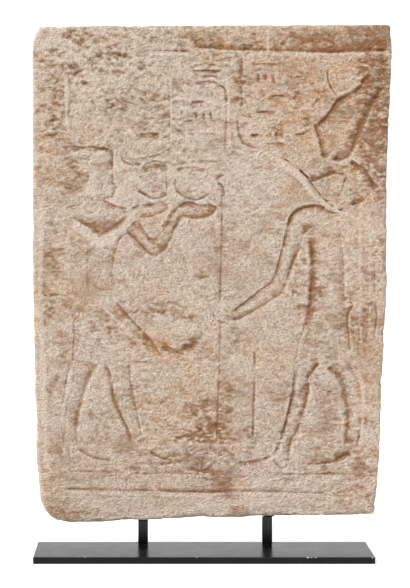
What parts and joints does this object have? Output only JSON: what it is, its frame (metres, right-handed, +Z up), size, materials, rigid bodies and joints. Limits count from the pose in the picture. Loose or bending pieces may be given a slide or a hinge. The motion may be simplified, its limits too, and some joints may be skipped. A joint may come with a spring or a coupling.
{
  "type": "carved stone stele",
  "caption": "Upright limestone slab carved in sunk relief with standing figures facing each other, held on a black steel plate by square bars.",
  "frame": {"origin": "on the ground under the middle of the whole object's box", "axes": "+Z up, the carved face looks along -Y, +X to the viewer's right"},
  "size_m": [0.426, 0.11, 0.633],
  "materials": {
    "limestone": "weathered pale limestone, matt, with brown patina in the cuts and along the edges",
    "black_steel": "satin black paint with small chips along the front edge"
  },
  "bodies": {
    "root": {"stele": "limestone", "base_plate": "black_steel", "left_support": "black_steel", "right_support": "black_steel"}
  },
  "joints": []
}
